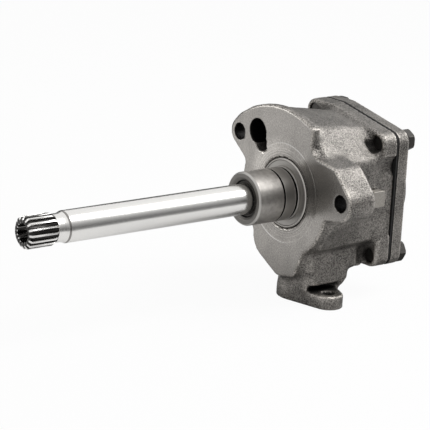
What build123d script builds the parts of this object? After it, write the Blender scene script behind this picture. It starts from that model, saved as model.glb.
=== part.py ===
from build123d import *
import math
import os

# Engine oil pump: a pair of lobed rotors in a cast iron body, turned by a long splined shaft.
# X runs along the shaft, from the splined tip (negative) to the rear cover (positive).
# The origin is where the shaft axis meets the mounting face of the body.
# Y points to the far side of the pump and Z points up. Sizes are in millimetres.

# Fits and clearances
running_clearance = 0.04
rotor_mesh_clearance = 0.10
rotor_end_clearance = 0.08
press_clearance = 0.01
seam_clearance = 0.15
bolt_clearance = 0.35
key_clearance = 0.03
valve_clearance = 0.03
valve_seat_gap = 0.05
overcut = 1.0
joint_overlap = 0.5

# Drive shaft
shaft_radius = 11.0
shaft_tip_x = -219.0
shaft_rear_gap = 1.5
tip_bore_radius = 6.3
tip_bore_depth = 20.0
tip_bore_chamfer = 0.7
spline_length = 23.0
spline_teeth = 16
spline_tip_radius = 11.2
spline_root_radius = 9.7
spline_tooth_width = 2.15
spline_tooth_tip_width = 1.25
spline_end_depth = 1.6
spline_end_radius = 8.9
spline_run_out = 3.2
relief_neck_radius = 9.7
relief_neck_length = 4.6
shoulder_length = 3.8
journal_chamfer = 1.0

# Steel neck pressed into the front of the body
neck_radius = 19.27
neck_front_x = -36.3
neck_ring_radius = 25.4
neck_ring_depth = 9.0
neck_front_chamfer = 1.0
neck_ring_chamfer = 0.4
neck_groove_x = -13.6
neck_groove_width = 1.0
neck_groove_depth = 1.3
neck_end_x = -2.4
neck_undercut_radius = 18.3
neck_undercut_depth = 1.0
neck_mouth_radius = 15.8
neck_mouth_depth = 2.2
neck_spigot_radius = 17.0
neck_spigot_depth = 16.0

# Bronze bushes
bush_wall = 1.6
front_bush_length = 26.0
front_bush_recess = 2.6
rear_bush_length = 20.0
cover_bush_length = 12.0
bush_chamfer = 0.4

# Front flange of the body
flange_thickness = 7.6
flange_edge_chamfer = 0.7
base_radius = 46.8
corner_blend = 5.0
arch_top = 61.4
arch_top_y = 9.0
arch_left = (41.0, 54.9)
arch_right = (-28.0, 52.2)
arch_shoulder = (39.0, 26.5)
arch_shoulder_radius = 25.7
left_hole = (53.0, 33.8)
left_lobe_radius = 10.5
left_boss_length = 14.0
left_web_foot = (39.0, 10.0)
right_hole = (-61.6, 6.8)
ear_centre = (-58.4, 6.0)
ear_radius = 13.4
ear_web_corner = (-50.0, 22.6)
ear_web_radius = 7.6
ear_web_top = (-36.0, 32.6)
ear_web_bottom = (-44.0, -9.6)
ear_length = 25.0
ear_end_fillet = 2.0
mount_hole_radius = 6.0
lower_web_corner = (-30.0, -29.0)
lower_lobe_right = (-11.4, -52.6)
lower_lobe_bottom = (1.0, -55.0)
lower_lobe_left = (13.8, -36.4)
lower_lobe_radius = 7.4
lower_lobe_left_radius = 17.9
turned_recess_radius = 36.3
turned_recess_depth = 0.2

# Case between the two flanges: corners of its front and rear outlines, each with its radius
case_front_corners = [
    (50.0, 49.0, 10.0), (14.0, 62.0, 45.0), (-18.5, 51.4, 14.0), (-42.0, 27.9, 10.0), (-46.0, -18.0, 22.0),
    (-33.5, -36.0, 3.0), (-16.0, -46.0, 6.0), (34.0, -46.0, 14.0), (48.0, 2.0, 30.0),
]
case_rear_corners = [
    (48.0, 42.0, 8.0), (22.0, 50.5, 25.0), (-13.5, 44.8, 8.0), (-33.5, 26.5, 8.0), (-34.5, -14.0, 20.0),
    (-33.5, -34.0, 3.0), (-20.0, -44.0, 6.0), (36.0, -46.0, 12.0), (48.0, 0.0, 30.0),
]
lower_case_side_y = -27.0
lower_case_far_y = 27.0
lower_case_bottom_z = -57.0
lower_case_radius = 6.0
lower_case_fillet = 5.0

# Suction foot
foot_z = -80.0
foot_thickness = 10.4
foot_centre_x = 22.5
foot_boss_radius = 17.6
foot_bolt_reach = 30.5
foot_bolt_angles = (-90.0, 45.0)
foot_ear_radius = 11.0
foot_bolt_hole_radius = 4.5
foot_neck_radius = 17.0
foot_neck_corner_radius = 6.5
foot_neck_near_y = -20.5
foot_neck_far_y = 15.0
foot_neck_front_x = 13.5
foot_neck_rear_x = 40.0
foot_neck_taper = 6.5
foot_neck_taper_height = 6.6
spot_face_reach = 33.5
spot_face_radius = 17.5
spot_face_height = 4.8
suction_port_radius = 12.5
suction_port_top_z = -18.0

# Pressure port in the mounting face
port_upper = (32.2, 38.4)
port_upper_radius = 9.2
port_lower = (27.9, 31.0)
port_lower_radius = 6.5
port_depth = 36.0
port_step_depth = 14.0

# Rear flange, gasket and cover
rear_flange_x = 62.0
rear_flange_thickness = 13.0
rear_ear_radius = 8.6
rear_flange_fillet = 2.4
bolt_top_left = (43.8, 45.8)
bolt_top_right = (-27.2, 35.2)
bolt_bottom_right = (-26.8, -48.6)
bolt_bottom_left = (43.8, -48.6)
arch_crest = (27.0, 40.4)
arch_crest_radius = 14.0
side_relief_depth = 1.7
side_relief_top_z = 27.5
side_relief_bottom_z = -38.5
side_relief_corner = 9.0
side_scallop_depth = 3.6
side_scallop_radius = 13.0
side_scallop_z = 18.5
gasket_thickness = 1.0
gasket_edge_inset = 0.3
gasket_chamber_gap = 1.2
cover_thickness = 11.0
cover_edge_radius = 1.2
cover_dome_centre = (6.0, -3.5)
cover_dome_radius = 38.4
cover_dome_height = 5.4
cover_dome_edge = 2.5
corner_pocket_size = 17.0
corner_pocket_depth = 10.0
upper_pocket_centre = (-27.8, 35.6)
upper_pocket_radius = 6.3
upper_pocket_depth = 7.0

# Cover bolts and dowels
bolt_radius = 4.76
bolt_length = 34.0
bolt_head_flats = 14.3
bolt_head_height = 6.0
bolt_head_chamfer = 0.8
thread_hole_radius = 4.95
bolt_turn_step = 30.0
bolt_recess_margin = 2.5
dowel_radius = 3.0
dowel_length = 18.0
dowel_end_gap = 0.3
dowel_upper = (4.0, 41.5)
dowel_lower = (-13.0, -42.0)

# Test port in the near side of the case, closed by a square-headed plug
test_port = (53.2, -1.0)
test_plug_flats = 11.9
test_plug_head_height = 6.4
test_plug_corner_chamfer = 1.2
test_plug_seat_y = -37.2
test_plug_hole_end_y = -30.6
test_plug_gap = 0.4
test_plug_thread_radius = 5.2
test_pad_radius = 8.4
test_pad_root_y = -31.0

# Rotors
rotor_offset = 2.9
inner_lobes = 6
lobe_pitch_radius = 27.0
lobe_radius = 9.0
chamber_radius = 31.0
chamber_depth = 28.0
rotor_root_gap = 0.25
curve_points_per_lobe = 12
kidney_inner_radius = 14.5
kidney_outer_radius = 24.0
kidney_depth = 13.0
kidney_half_angle = 66.0

# Key and rings that hold the inner rotor on the shaft
key_width = 5.0
key_height = 5.0
key_length = 20.0
key_shaft_depth = 3.0
ring_groove_radius = 10.2
ring_outer_radius = 13.0
ring_thickness = 1.2
ring_pocket_radius = 13.6
ring_pocket_depth = 1.8
ring_gap_angle = 50.0

# Pressure relief valve
valve_bore_radius = 6.5
valve_axis = (28.3, 36.4)
valve_seat_x = 42.0
valve_seat_radius = 4.5
valve_length = 17.0
valve_wall = 1.5
valve_nose = 3.0
valve_nose_chamfer = 0.6
valve_lift = 7.0
dump_hole_radius = 3.0
dump_hole_x = 46.2
spring_coil_radius = 3.9
spring_wire_radius = 0.6
spring_turns = 6
spring_wire_sides = 6
spring_end_gap = 0.1
shim_thickness = 1.2
shim_hole_radius = 3.0
shim_clearance = 0.4
plug_thread_radius = 7.3
plug_flats = 15.0
plug_head_height = 4.5
plug_washer_thickness = 1.5
plug_washer_radius = 9.2
plug_washer_recess = 1.5
plug_shank_inset = 2.0

# Places worked out from the sizes above
body_rear_x = rear_flange_x + rear_flange_thickness
cover_front_x = body_rear_x + gasket_thickness
cover_rear_x = cover_front_x + cover_thickness
dome_rear_x = cover_rear_x + cover_dome_height
chamber_x = body_rear_x - chamber_depth
rotor_front_x = chamber_x + rotor_end_clearance
rotor_rear_x = cover_front_x - rotor_end_clearance
rotor_width = rotor_rear_x - rotor_front_x
bush_inner_radius = shaft_radius + running_clearance
bush_outer_radius = bush_inner_radius + bush_wall
cover_pocket_x = cover_front_x + cover_bush_length
shaft_rear_x = cover_pocket_x - shaft_rear_gap
rotor_radius = chamber_radius - 2 * running_clearance
cover_bolts_at = [bolt_top_left, bolt_top_right, bolt_bottom_right, bolt_bottom_left]
dowels_at = [dowel_upper, dowel_lower]
plug_inner_x = cover_front_x + plug_shank_inset


def station(x):
    """Plane across the shaft at x, drawn in (Y, Z)."""
    return Plane(origin=(x, 0, 0), x_dir=(0, 1, 0), z_dir=(1, 0, 0))


def rod(radius, x_from, x_to, centre=(0, 0)):
    """Round bar along X."""
    return extrude(station(x_from) * Pos(*centre) * Circle(radius), x_to - x_from)


def tube(outer, inner, x_from, x_to, centre=(0, 0)):
    return rod(outer, x_from, x_to, centre) - rod(inner, x_from, x_to, centre)


def cone(radius_from, radius_to, x_from, x_to, centre=(0, 0)):
    """Tapered bar along X."""
    height = abs(x_to - x_from)
    middle = (x_from + x_to) / 2
    return station(middle) * Pos(*centre) * Cone(radius_from, radius_to, height)


def prism(face, x_from, x_to):
    """Extrude a face drawn in (Y, Z) from one station to another."""
    return extrude(station(x_from) * face, x_to - x_from)


def belt(*discs):
    """Outline stretched round discs listed anticlockwise as (y, z, radius); radius 0 gives a sharp corner."""
    touch_angles = []
    for (y1, z1, r1), (y2, z2, r2) in zip(discs, discs[1:] + discs[:1]):
        heading = math.atan2(z2 - z1, y2 - y1)
        touch_angles.append(heading - math.acos((r1 - r2) / math.hypot(y2 - y1, z2 - z1)))
    edges = []
    for index, (y, z, radius) in enumerate(discs):
        arriving, leaving = touch_angles[index - 1], touch_angles[index]
        next_y, next_z, next_radius = discs[(index + 1) % len(discs)]
        if radius > 0:
            sweep = math.degrees(leaving - arriving) % 360
            edges.append(CenterArc((y, z), radius, math.degrees(arriving), sweep))
        start = (y + radius * math.cos(leaving), z + radius * math.sin(leaving))
        end = (next_y + next_radius * math.cos(leaving), next_z + next_radius * math.sin(leaving))
        edges.append(Line(start, end))
    return make_face(edges)


def blended(face, radius):
    """Round the inner corners of an outline by growing it and shrinking it back."""
    return offset(offset(face, radius), -radius)


def rounded_corners(corners):
    """Closed outline with a rounded corner at each (y, z, radius)."""
    points = [(y, z) for y, z, radius in corners]
    radii = [radius for y, z, radius in corners]
    return make_face(FilletPolyline(*points, radius=radii, close=True))


def hexagon(flats, centre=(0, 0), turn=0):
    return Pos(*centre) * RegularPolygon(flats / 2, 6, major_radius=False, rotation=turn)


def ear_outline():
    """Right ear of the mounting flange with the web that joins it to the case."""
    web = (*ear_web_corner, ear_web_radius)
    return belt((*ear_web_top, 0), web, (*ear_centre, ear_radius), (*ear_web_bottom, 0))


def upper_lobe_outline():
    """Arched lobe that carries the left hole and the pressure port."""
    crown = ThreePointArc(arch_left, (arch_top_y, arch_top), arch_right)
    arch = make_face([crown, Line(arch_right, arch_left)])
    web = belt((arch_right[0], 0, 0), (*left_web_foot, 0), (*left_hole, left_lobe_radius),
               (*arch_shoulder, arch_shoulder_radius), (*arch_left, 0), (*arch_right, 0))
    return arch + web


def lower_lobe_outline():
    return belt((*lower_web_corner, 0), (*lower_lobe_right, lower_lobe_radius),
                (*lower_lobe_bottom, lower_lobe_radius), (*lower_lobe_left, lower_lobe_left_radius),
                (base_radius / 2, 0, 0))


def flange_outline():
    joined = Circle(base_radius) + upper_lobe_outline() + ear_outline() + lower_lobe_outline()
    return blended(joined, corner_blend)


def rear_outline():
    """Outline shared by the rear flange, the gasket and the cover."""
    right, top_right = (*bolt_bottom_right, rear_ear_radius), (*bolt_top_right, rear_ear_radius)
    left, top_left = (*bolt_bottom_left, rear_ear_radius), (*bolt_top_left, rear_ear_radius)
    return belt(right, left, top_left, (*arch_crest, arch_crest_radius), top_right)


def foot_outline():
    """Oval suction flange, drawn in (X, Y)."""
    ears = [(x, y, foot_ear_radius) for x, y in foot_bolts_at()]
    return belt(*ears, (foot_centre_x, 0, foot_boss_radius))


def foot_bolts_at(reach=foot_bolt_reach):
    """Places round the suction port, in (X, Y), at the angles of its bolts."""
    turns = [math.radians(angle) for angle in foot_bolt_angles]
    return [(foot_centre_x + reach * math.cos(turn), reach * math.sin(turn)) for turn in turns]


def foot_neck_outline(rear_x):
    """Section of the neck above the foot, in (X, Y), with its rear corners at rear_x."""
    corners = [(foot_neck_front_x, foot_neck_near_y), (rear_x, foot_neck_near_y), (rear_x, foot_neck_far_y)]
    rounded = [(x, y, foot_neck_corner_radius) for x, y in corners]
    return belt(*rounded, (foot_centre_x, 0, foot_neck_radius))


def make_lower_case():
    """Lower part of the case, from under the rotor chamber down to the foot."""
    front_x = foot_centre_x - foot_boss_radius
    width = lower_case_far_y - lower_case_side_y
    length = rear_flange_x + joint_overlap - front_x
    middle_y = (lower_case_far_y + lower_case_side_y) / 2
    box = Pos(front_x + length / 2, middle_y) * RectangleRounded(length, width, lower_case_radius)
    upper = extrude(Pos(0, 0, lower_case_bottom_z) * box, -lower_case_bottom_z - base_radius / 2)
    upper = fillet(upper.faces().sort_by(Axis.Z)[0].edges(), lower_case_fillet)
    foot_top = foot_z + foot_thickness
    taper_top = foot_top + foot_neck_taper_height
    wide = foot_neck_outline(foot_neck_rear_x)
    narrow = foot_neck_outline(foot_neck_rear_x - foot_neck_taper)
    taper = loft([Pos(0, 0, foot_top) * narrow, Pos(0, 0, taper_top) * wide], ruled=True)
    neck = extrude(Pos(0, 0, taper_top) * wide, lower_case_bottom_z + lower_case_radius - taper_top)
    foot = extrude(Pos(0, 0, foot_z) * foot_outline(), foot_thickness)
    return upper + neck + taper + foot


def suction_passages():
    """Suction port in the foot and the lower kidney that feeds the rotors."""
    rise = suction_port_top_z - foot_z
    port = extrude(Pos(foot_centre_x, 0, foot_z) * Circle(suction_port_radius), rise)
    kidney = prism(kidney_outline(-90), chamber_x - kidney_depth, chamber_x)
    return port + kidney


def kidney_outline(middle_angle):
    """Ring sector round the shaft, with round ends, centred on an angle in degrees."""
    middle_radius = (kidney_inner_radius + kidney_outer_radius) / 2
    arc = CenterArc((0, 0), middle_radius, middle_angle - kidney_half_angle, 2 * kidney_half_angle)
    return SlotArc(arc, kidney_outer_radius - kidney_inner_radius)


def pressure_passages():
    """Pressure port, the cross passage and the upper kidney of the rotors."""
    upper = rod(port_upper_radius, -overcut, port_depth, port_upper)
    lower = rod(port_lower_radius, -overcut, port_step_depth, port_lower)
    kidney = prism(kidney_outline(90), chamber_x - kidney_depth, chamber_x)
    cross_radius = (kidney_outer_radius - kidney_inner_radius) / 2
    middle_radius = (kidney_inner_radius + kidney_outer_radius) / 2
    angle = math.radians(90 - kidney_half_angle * 0.6)
    near = (middle_radius * math.cos(angle), middle_radius * math.sin(angle))
    cross = belt((*near, cross_radius), (*port_lower, cross_radius))
    return upper + lower + kidney + prism(cross, chamber_x - kidney_depth, port_depth)


def make_pump_body():
    body = make_case() + make_front_flange() + make_rear_flange() + make_lower_case() + make_bosses()
    body -= shaft_and_rotor_bores()
    body -= suction_passages()
    body -= pressure_passages()
    body -= relief_valve_bores()
    body -= cover_fastener_holes()
    body -= mounting_holes()
    body -= foot_bolt_holes()
    body -= bolt_end_pockets()
    return body - test_port_cuts()


def make_case():
    """Tapered case between the two flanges."""
    front = station(flange_thickness - joint_overlap) * rounded_corners(case_front_corners)
    rear = station(rear_flange_x + joint_overlap) * rounded_corners(case_rear_corners)
    return loft([front, rear], ruled=True)


def make_front_flange():
    """Mounting flange with a chamfered rim and a shallow turned recess round the neck."""
    flange = prism(flange_outline(), 0, flange_thickness)
    flange = chamfer(flange.faces().sort_by(Axis.X)[0].edges(), flange_edge_chamfer)
    return flange - rod(turned_recess_radius, -overcut, turned_recess_depth)


def make_rear_flange():
    """Flange that carries the cover, hollowed a little along its near side."""
    flange = prism(rear_outline() - side_relief_outline(), rear_flange_x, body_rear_x)
    return fillet(flange.faces().sort_by(Axis.X)[0].edges(), rear_flange_fillet)


def side_relief_outline():
    """Long shallow hollow in the flange's near side, deeper just below the upper ear."""
    near_y = bolt_top_right[0] - rear_ear_radius
    height = side_relief_top_z - side_relief_bottom_z
    middle_z = (side_relief_top_z + side_relief_bottom_z) / 2
    width = 2 * side_relief_corner + joint_overlap
    hollow = RectangleRounded(width, height, side_relief_corner)
    hollow = Pos(near_y + side_relief_depth - width / 2, middle_z) * hollow
    scallop_y = near_y + side_scallop_depth - side_scallop_radius
    return hollow + Pos(scallop_y, side_scallop_z) * Circle(side_scallop_radius)


def make_bosses():
    """Long right ear, left boss and the pad round the test port."""
    root_x = flange_thickness / 2
    ear = prism(ear_outline(), root_x, ear_length)
    ear = fillet(ear.faces().sort_by(Axis.X)[-1].edges(), ear_end_fillet)
    left_boss = rod(left_lobe_radius, root_x, left_boss_length, left_hole)
    return ear + left_boss + bar_along_y(test_pad_radius, test_plug_seat_y, test_pad_root_y)


def shaft_and_rotor_bores():
    """Seat of the neck, bore of the rear bush and the rotor chamber, from front to rear."""
    return [
        rod(neck_ring_radius + seam_clearance, -overcut, neck_ring_depth + press_clearance),
        rod(neck_spigot_radius + press_clearance, 0, neck_spigot_depth + press_clearance),
        rod(bush_outer_radius + press_clearance, 0, chamber_x + overcut),
        rod(chamber_radius, chamber_x, body_rear_x + overcut, (rotor_offset, 0)),
    ]


def relief_valve_bores():
    """Bore of the relief valve, its seat and the hole that lets relieved oil out on the far side."""
    dump_start = Plane(origin=(dump_hole_x, valve_axis[0], valve_axis[1]), z_dir=(0, 1, 0))
    return [
        rod(valve_bore_radius, valve_seat_x, body_rear_x + overcut, valve_axis),
        rod(valve_seat_radius, port_depth - overcut, valve_seat_x + overcut, valve_axis),
        extrude(dump_start * Circle(dump_hole_radius), bolt_top_left[0]),
    ]


def cover_fastener_holes():
    start, end = rear_flange_x - overcut, body_rear_x + overcut
    threads = [rod(thread_hole_radius, start, end, at) for at in cover_bolts_at]
    hole_radius = dowel_radius + press_clearance
    dowels = [rod(hole_radius, body_rear_x - dowel_length / 2, body_rear_x + overcut, at) for at in dowels_at]
    return threads + dowels


def mounting_holes():
    """Holes of the two mounting bolts, and the way to the left bolt's head behind its boss."""
    return [
        rod(mount_hole_radius, -overcut, left_boss_length + overcut, left_hole),
        rod(left_lobe_radius, left_boss_length, rear_flange_x, left_hole),
        rod(mount_hole_radius, -overcut, ear_length + overcut, right_hole),
    ]


def bar_along_y(radius, y_from, y_to):
    """Round bar at the test port, along Y."""
    start = Plane(origin=(test_port[0], y_from, test_port[1]), x_dir=(1, 0, 0), z_dir=(0, 1, 0))
    return extrude(start * Circle(radius), y_to - y_from)


def make_test_plug():
    """Square-headed plug that closes the test port in the near side of the case."""
    head_end_y = test_plug_seat_y - test_plug_head_height
    middle = Pos(test_port[0], (test_plug_seat_y + head_end_y) / 2, test_port[1])
    head = middle * Box(test_plug_flats, test_plug_head_height, test_plug_flats)
    head = chamfer(head.edges().filter_by(Axis.Y), test_plug_corner_chamfer)
    thread_end_y = test_plug_hole_end_y - test_plug_gap
    return head + bar_along_y(test_plug_thread_radius, test_plug_seat_y - joint_overlap, thread_end_y)


def test_port_cuts():
    """Flat seat of the test plug and its thread hole."""
    return [
        bar_along_y(test_pad_radius, test_plug_seat_y - test_plug_head_height, test_plug_seat_y),
        bar_along_y(test_plug_thread_radius + press_clearance, test_plug_seat_y - overcut, test_plug_hole_end_y),
    ]


def foot_bolt_holes():
    """Bolt holes in the foot's ears, with the spot face over each."""
    cuts = []
    for x, y in foot_bolts_at():
        cuts.append(extrude(Pos(x, y, foot_z) * Circle(foot_bolt_hole_radius), foot_thickness + overcut))
    for x, y in foot_bolts_at(spot_face_reach):
        spot = Pos(x, y, foot_z + foot_thickness) * Circle(spot_face_radius)
        cuts.append(extrude(spot, spot_face_height))
    return cuts


def bolt_end_pockets():
    """Cast pockets in front of the two cover bolts on the near side."""
    y, z = bolt_bottom_right
    size = corner_pocket_size
    face = Pos(y - size / 4, z) * RectangleRounded(size, size, size / 4)
    lower = prism(face, rear_flange_x - corner_pocket_depth, rear_flange_x)
    upper = rod(upper_pocket_radius, rear_flange_x - upper_pocket_depth, rear_flange_x, upper_pocket_centre)
    return [lower, upper]


def make_neck():
    """Turned steel neck that pilots the pump and carries the front bush."""
    ring = rod(neck_ring_radius, 0, neck_ring_depth)
    ring = chamfer(ring.edges().sort_by(Axis.X)[0], neck_ring_chamfer)
    barrel = rod(neck_radius, neck_front_x, overcut)
    barrel = chamfer(barrel.edges().sort_by(Axis.X)[0], neck_front_chamfer)
    spigot = rod(neck_spigot_radius, 0, neck_spigot_depth)
    neck = ring + barrel + spigot
    groove_from = neck_groove_x - neck_groove_width / 2
    groove_to = groove_from + neck_groove_width
    neck -= tube(neck_radius + overcut, neck_radius - neck_groove_depth, groove_from, groove_to)
    neck -= tube(neck_radius + joint_overlap, neck_undercut_radius, neck_end_x, neck_undercut_depth)
    neck -= rod(bush_outer_radius + press_clearance, neck_front_x - overcut, neck_spigot_depth + overcut)
    mouth_end = neck_front_x + neck_mouth_depth
    neck -= cone(neck_mouth_radius, bush_outer_radius, neck_front_x, mouth_end)
    return neck


def make_bush(x_from, length):
    bush = tube(bush_outer_radius, bush_inner_radius, x_from, x_from + length)
    inner = bush.edges().filter_by(GeomType.CIRCLE).sort_by(SortBy.RADIUS)[0:2]
    return chamfer(inner, bush_chamfer)


def spline_tooth():
    """One tooth between the root and tip radii, pointing along +Y."""
    root = spline_root_radius - joint_overlap
    half_root = spline_tooth_width / 2
    half_tip = spline_tooth_tip_width / 2
    tip = spline_tip_radius
    return make_face(Polyline((root, -half_root), (tip, -half_tip), (tip, half_tip), (root, half_root), close=True))


def make_spline():
    """External spline with tapered tooth ends."""
    end_x = shaft_tip_x + spline_length
    outline = Circle(spline_root_radius)
    for tooth in range(spline_teeth):
        outline += Rot(0, 0, 360 * tooth / spline_teeth) * spline_tooth()
    teeth = prism(outline, shaft_tip_x, end_x)
    profile = Polyline(
        (shaft_tip_x, 0), (shaft_tip_x, spline_end_radius), (shaft_tip_x + spline_end_depth, spline_tip_radius),
        (end_x - spline_run_out, spline_tip_radius), (end_x, relief_neck_radius), (end_x, 0), close=True)
    envelope = revolve(Plane.XY * make_face(profile), Axis.X)
    return teeth & envelope


def make_drive_shaft():
    neck_from = shaft_tip_x + spline_length
    neck_to = neck_from + relief_neck_length
    shoulder_to = neck_to + shoulder_length
    shaft = make_spline() + rod(relief_neck_radius, neck_from - joint_overlap, neck_to)
    shaft += cone(relief_neck_radius, shaft_radius, neck_to, shoulder_to)
    journal = rod(shaft_radius, shoulder_to, shaft_rear_x)
    shaft += chamfer(journal.edges().sort_by(Axis.X)[-1], journal_chamfer)
    shaft -= rod(tip_bore_radius, shaft_tip_x, shaft_tip_x + tip_bore_depth)
    bevel_end_x = shaft_tip_x + tip_bore_chamfer
    shaft -= cone(tip_bore_radius + tip_bore_chamfer, tip_bore_radius, shaft_tip_x, bevel_end_x)
    for x_from in ring_places():
        groove_to = x_from + ring_thickness + key_clearance
        shaft -= tube(shaft_radius + overcut, ring_groove_radius, x_from - key_clearance, groove_to)
    shaft -= key_block(key_clearance)
    return shaft


def key_block(grow=0.0):
    """Parallel key along the top of the shaft, grown a little for its slot."""
    middle_x = (rotor_front_x + rotor_rear_x) / 2
    radial = shaft_radius - key_shaft_depth + key_height / 2
    place = Pos(middle_x, 0, radial)
    return place * Box(key_length + 2 * grow, key_width + 2 * grow, key_height + 2 * grow)


def ring_places():
    """Front faces of the two snap rings, one in each end pocket of the inner rotor."""
    slack = (ring_pocket_depth - ring_thickness) / 2
    return [rotor_front_x + slack, rotor_rear_x - slack - ring_thickness]


def make_snap_ring(x_from):
    ring = tube(ring_outer_radius, ring_groove_radius + key_clearance, x_from, x_from + ring_thickness)
    gap = math.radians(ring_gap_angle / 2)
    reach = 2 * ring_outer_radius
    wedge = make_face(Polyline((0, 0), (reach * math.sin(gap), -reach), (-reach * math.sin(gap), -reach), close=True))
    return ring - prism(wedge, x_from, x_from + ring_thickness)


def inner_rotor_outline():
    """Trochoid that stays in contact with every lobe of the outer rotor, less the mesh clearance."""
    outer_lobes = inner_lobes + 1
    inward = lobe_radius + rotor_mesh_clearance
    points = []
    count = inner_lobes * curve_points_per_lobe
    for step in range(count):
        turn = 2 * math.pi * step / count
        y = lobe_pitch_radius * math.cos(turn) + rotor_offset * math.cos(outer_lobes * turn)
        z = lobe_pitch_radius * math.sin(turn) + rotor_offset * math.sin(outer_lobes * turn)
        along_y = -lobe_pitch_radius * math.sin(turn) - outer_lobes * rotor_offset * math.sin(outer_lobes * turn)
        along_z = lobe_pitch_radius * math.cos(turn) + outer_lobes * rotor_offset * math.cos(outer_lobes * turn)
        speed = math.hypot(along_y, along_z)
        points.append((y - inward * along_z / speed, z + inward * along_y / speed))
    return make_face(Spline(*points, periodic=True))


def make_inner_rotor():
    rotor = prism(inner_rotor_outline(), rotor_front_x, rotor_rear_x)
    rotor -= rod(shaft_radius + press_clearance, rotor_front_x, rotor_rear_x)
    rotor -= rod(ring_pocket_radius, rotor_front_x, rotor_front_x + ring_pocket_depth)
    rotor -= rod(ring_pocket_radius, rotor_rear_x - ring_pocket_depth, rotor_rear_x)
    slot = Pos((rotor_front_x + rotor_rear_x) / 2, 0, shaft_radius)
    height = 2 * (key_height - key_shaft_depth + key_clearance)
    return rotor - slot * Box(rotor_width, key_width + 2 * key_clearance, height)


def make_outer_rotor():
    """Ring with one more lobe than the inner rotor, each lobe a part of a circle."""
    root_radius = lobe_pitch_radius + 2 * rotor_offset - lobe_radius + rotor_root_gap
    outline = Circle(rotor_radius) - Circle(root_radius)
    for lobe in range(inner_lobes + 1):
        turn = 360 * lobe / (inner_lobes + 1)
        outline += Rot(0, 0, turn) * Pos(lobe_pitch_radius, 0) * Circle(lobe_radius)
    outline = outline & Circle(rotor_radius)
    return prism(Pos(rotor_offset, 0) * outline, rotor_front_x, rotor_rear_x)


def make_cover():
    cover = prism(rear_outline(), cover_front_x, cover_rear_x)
    cover = fillet(cover.faces().sort_by(Axis.X)[-1].outer_wire().edges(), cover_edge_radius)
    dome = rod(cover_dome_radius, cover_rear_x - overcut, dome_rear_x, cover_dome_centre)
    cover += chamfer(dome.edges().sort_by(Axis.X)[-1], cover_dome_edge)
    start, end = cover_front_x - overcut, dome_rear_x + overcut
    cover -= rod(bush_outer_radius + press_clearance, start, cover_pocket_x)
    cover -= rod(plug_thread_radius, start, end, valve_axis)
    cover -= rod(plug_washer_radius + plug_washer_recess, cover_rear_x, end, valve_axis)
    for place in cover_bolts_at:
        cover -= rod(bolt_radius + bolt_clearance, start, end, place)
        cover -= rod(bolt_head_flats / 2 + bolt_recess_margin, cover_rear_x, end, place)
    for place in dowels_at:
        cover -= rod(dowel_radius + press_clearance, start, body_rear_x + dowel_length / 2, place)
    return cover


def make_gasket():
    face = offset(rear_outline(), -gasket_edge_inset)
    face -= Pos(rotor_offset, 0) * Circle(chamber_radius + gasket_chamber_gap)
    face -= Pos(*valve_axis) * Circle(plug_thread_radius + bolt_clearance)
    for place in cover_bolts_at:
        face -= Pos(*place) * Circle(bolt_radius + bolt_clearance)
    for place in dowels_at:
        face -= Pos(*place) * Circle(dowel_radius + bolt_clearance)
    return prism(face, body_rear_x, cover_front_x)


def make_dowel(place):
    reach = dowel_length / 2 - dowel_end_gap
    return rod(dowel_radius, body_rear_x - reach, body_rear_x + reach, place)


def make_bolt(place, turn):
    head_to = cover_rear_x + bolt_head_height
    shank = rod(bolt_radius, cover_rear_x - bolt_length + cover_thickness, cover_rear_x, place)
    head = prism(hexagon(bolt_head_flats, place, turn), cover_rear_x, head_to)
    corner = bolt_head_flats / math.sqrt(3)
    crown = rod(corner, cover_rear_x, head_to, place)
    crown = chamfer(crown.edges().sort_by(Axis.X)[-1], bolt_head_chamfer)
    return shank + (head & crown)


def make_valve_plunger():
    start = valve_seat_x + valve_seat_gap
    radius = valve_bore_radius - valve_clearance
    plunger = rod(radius, start, start + valve_length, valve_axis)
    plunger = chamfer(plunger.edges().sort_by(Axis.X)[0], valve_nose_chamfer)
    return plunger - rod(radius - valve_wall, start + valve_nose, start + valve_length + overcut, valve_axis)


def make_valve_spring():
    """Coil spring from the plunger's floor to the shim on the plug."""
    floor = valve_seat_x + valve_seat_gap + valve_nose
    end_room = spring_wire_radius + spring_end_gap
    length = plug_inner_x - shim_thickness - floor - 2 * end_room
    path = Helix(length / spring_turns, length, spring_coil_radius)
    section = Plane(origin=path @ 0, z_dir=path % 0) * RegularPolygon(spring_wire_radius, spring_wire_sides)
    coil = sweep(section, path=path, is_frenet=True)
    return station(floor + end_room) * Pos(*valve_axis) * coil


def make_shim():
    radius = valve_bore_radius - shim_clearance
    return tube(radius, shim_hole_radius, plug_inner_x - shim_thickness, plug_inner_x, valve_axis)


def make_plug():
    head_from = cover_rear_x + plug_washer_thickness
    head = prism(hexagon(plug_flats, valve_axis), head_from, head_from + plug_head_height)
    shank = rod(plug_thread_radius - press_clearance, plug_inner_x, head_from, valve_axis)
    return head + shank


def make_plug_washer():
    washer_rear_x = cover_rear_x + plug_washer_thickness
    return tube(plug_washer_radius, plug_thread_radius, cover_rear_x, washer_rear_x, valve_axis)


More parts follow.
